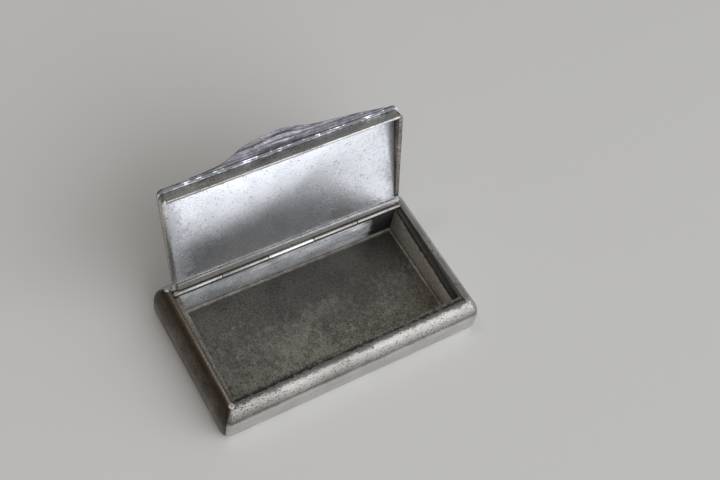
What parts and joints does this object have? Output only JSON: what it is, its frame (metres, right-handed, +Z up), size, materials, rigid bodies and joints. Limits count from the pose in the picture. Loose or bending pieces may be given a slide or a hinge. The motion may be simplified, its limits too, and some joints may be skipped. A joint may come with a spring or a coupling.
{
  "type": "hinged snuff box",
  "caption": "Small rectangular metal box with swelling sides, a flat hinged lid with inner flanges and a moulded thumbpiece, shown open.",
  "frame": {"origin": "centre of the flat underside, midway between the front and rear rims and between the side rims", "axes": "+X along the hinge, +Y from the front to the hinge, +Z up out of the open tray"},
  "size_m": [0.0854, 0.0564, 0.054],
  "materials": {
    "worn_outside": "worn and finely pitted silver or pewter, dull shine",
    "lid_metal": "rubbed silver or pewter with a rough margin",
    "hinge_metal": "rubbed silver or pewter, dark in the joints",
    "tarnished_inside": "tarnished and pitted silver or pewter with pale specks"
  },
  "bodies": {
    "tray": {"base_plate": "tarnished_inside", "wall_front": "worn_outside", "wall_right": "worn_outside", "wall_rear": "worn_outside", "wall_left": "worn_outside", "lining_front": "tarnished_inside", "lining_rear": "tarnished_inside", "lining_left": "tarnished_inside", "lining_right": "tarnished_inside", "hinge_stop_strip": "hinge_metal", "tray_knuckle_left": "hinge_metal", "tray_knuckle_centre": "hinge_metal", "tray_knuckle_right": "hinge_metal", "hinge_pin": "hinge_metal"},
    "lid": {"lid_plate": "lid_metal", "lid_flange_front": "lid_metal", "lid_flange_left": "lid_metal", "lid_flange_right": "lid_metal", "lid_hinge_bearer": "hinge_metal", "lid_knuckle_left": "hinge_metal", "lid_knuckle_right": "hinge_metal", "thumbpiece": "worn_outside"}
  },
  "joints": [
    {"name": "lid_hinge", "type": "hinge", "parent": "tray", "child": "lid", "pos_m": [0, 0.0183, 0.0127], "axis": [1, 0, 0], "range_deg": [0, 106.3]}
  ]
}
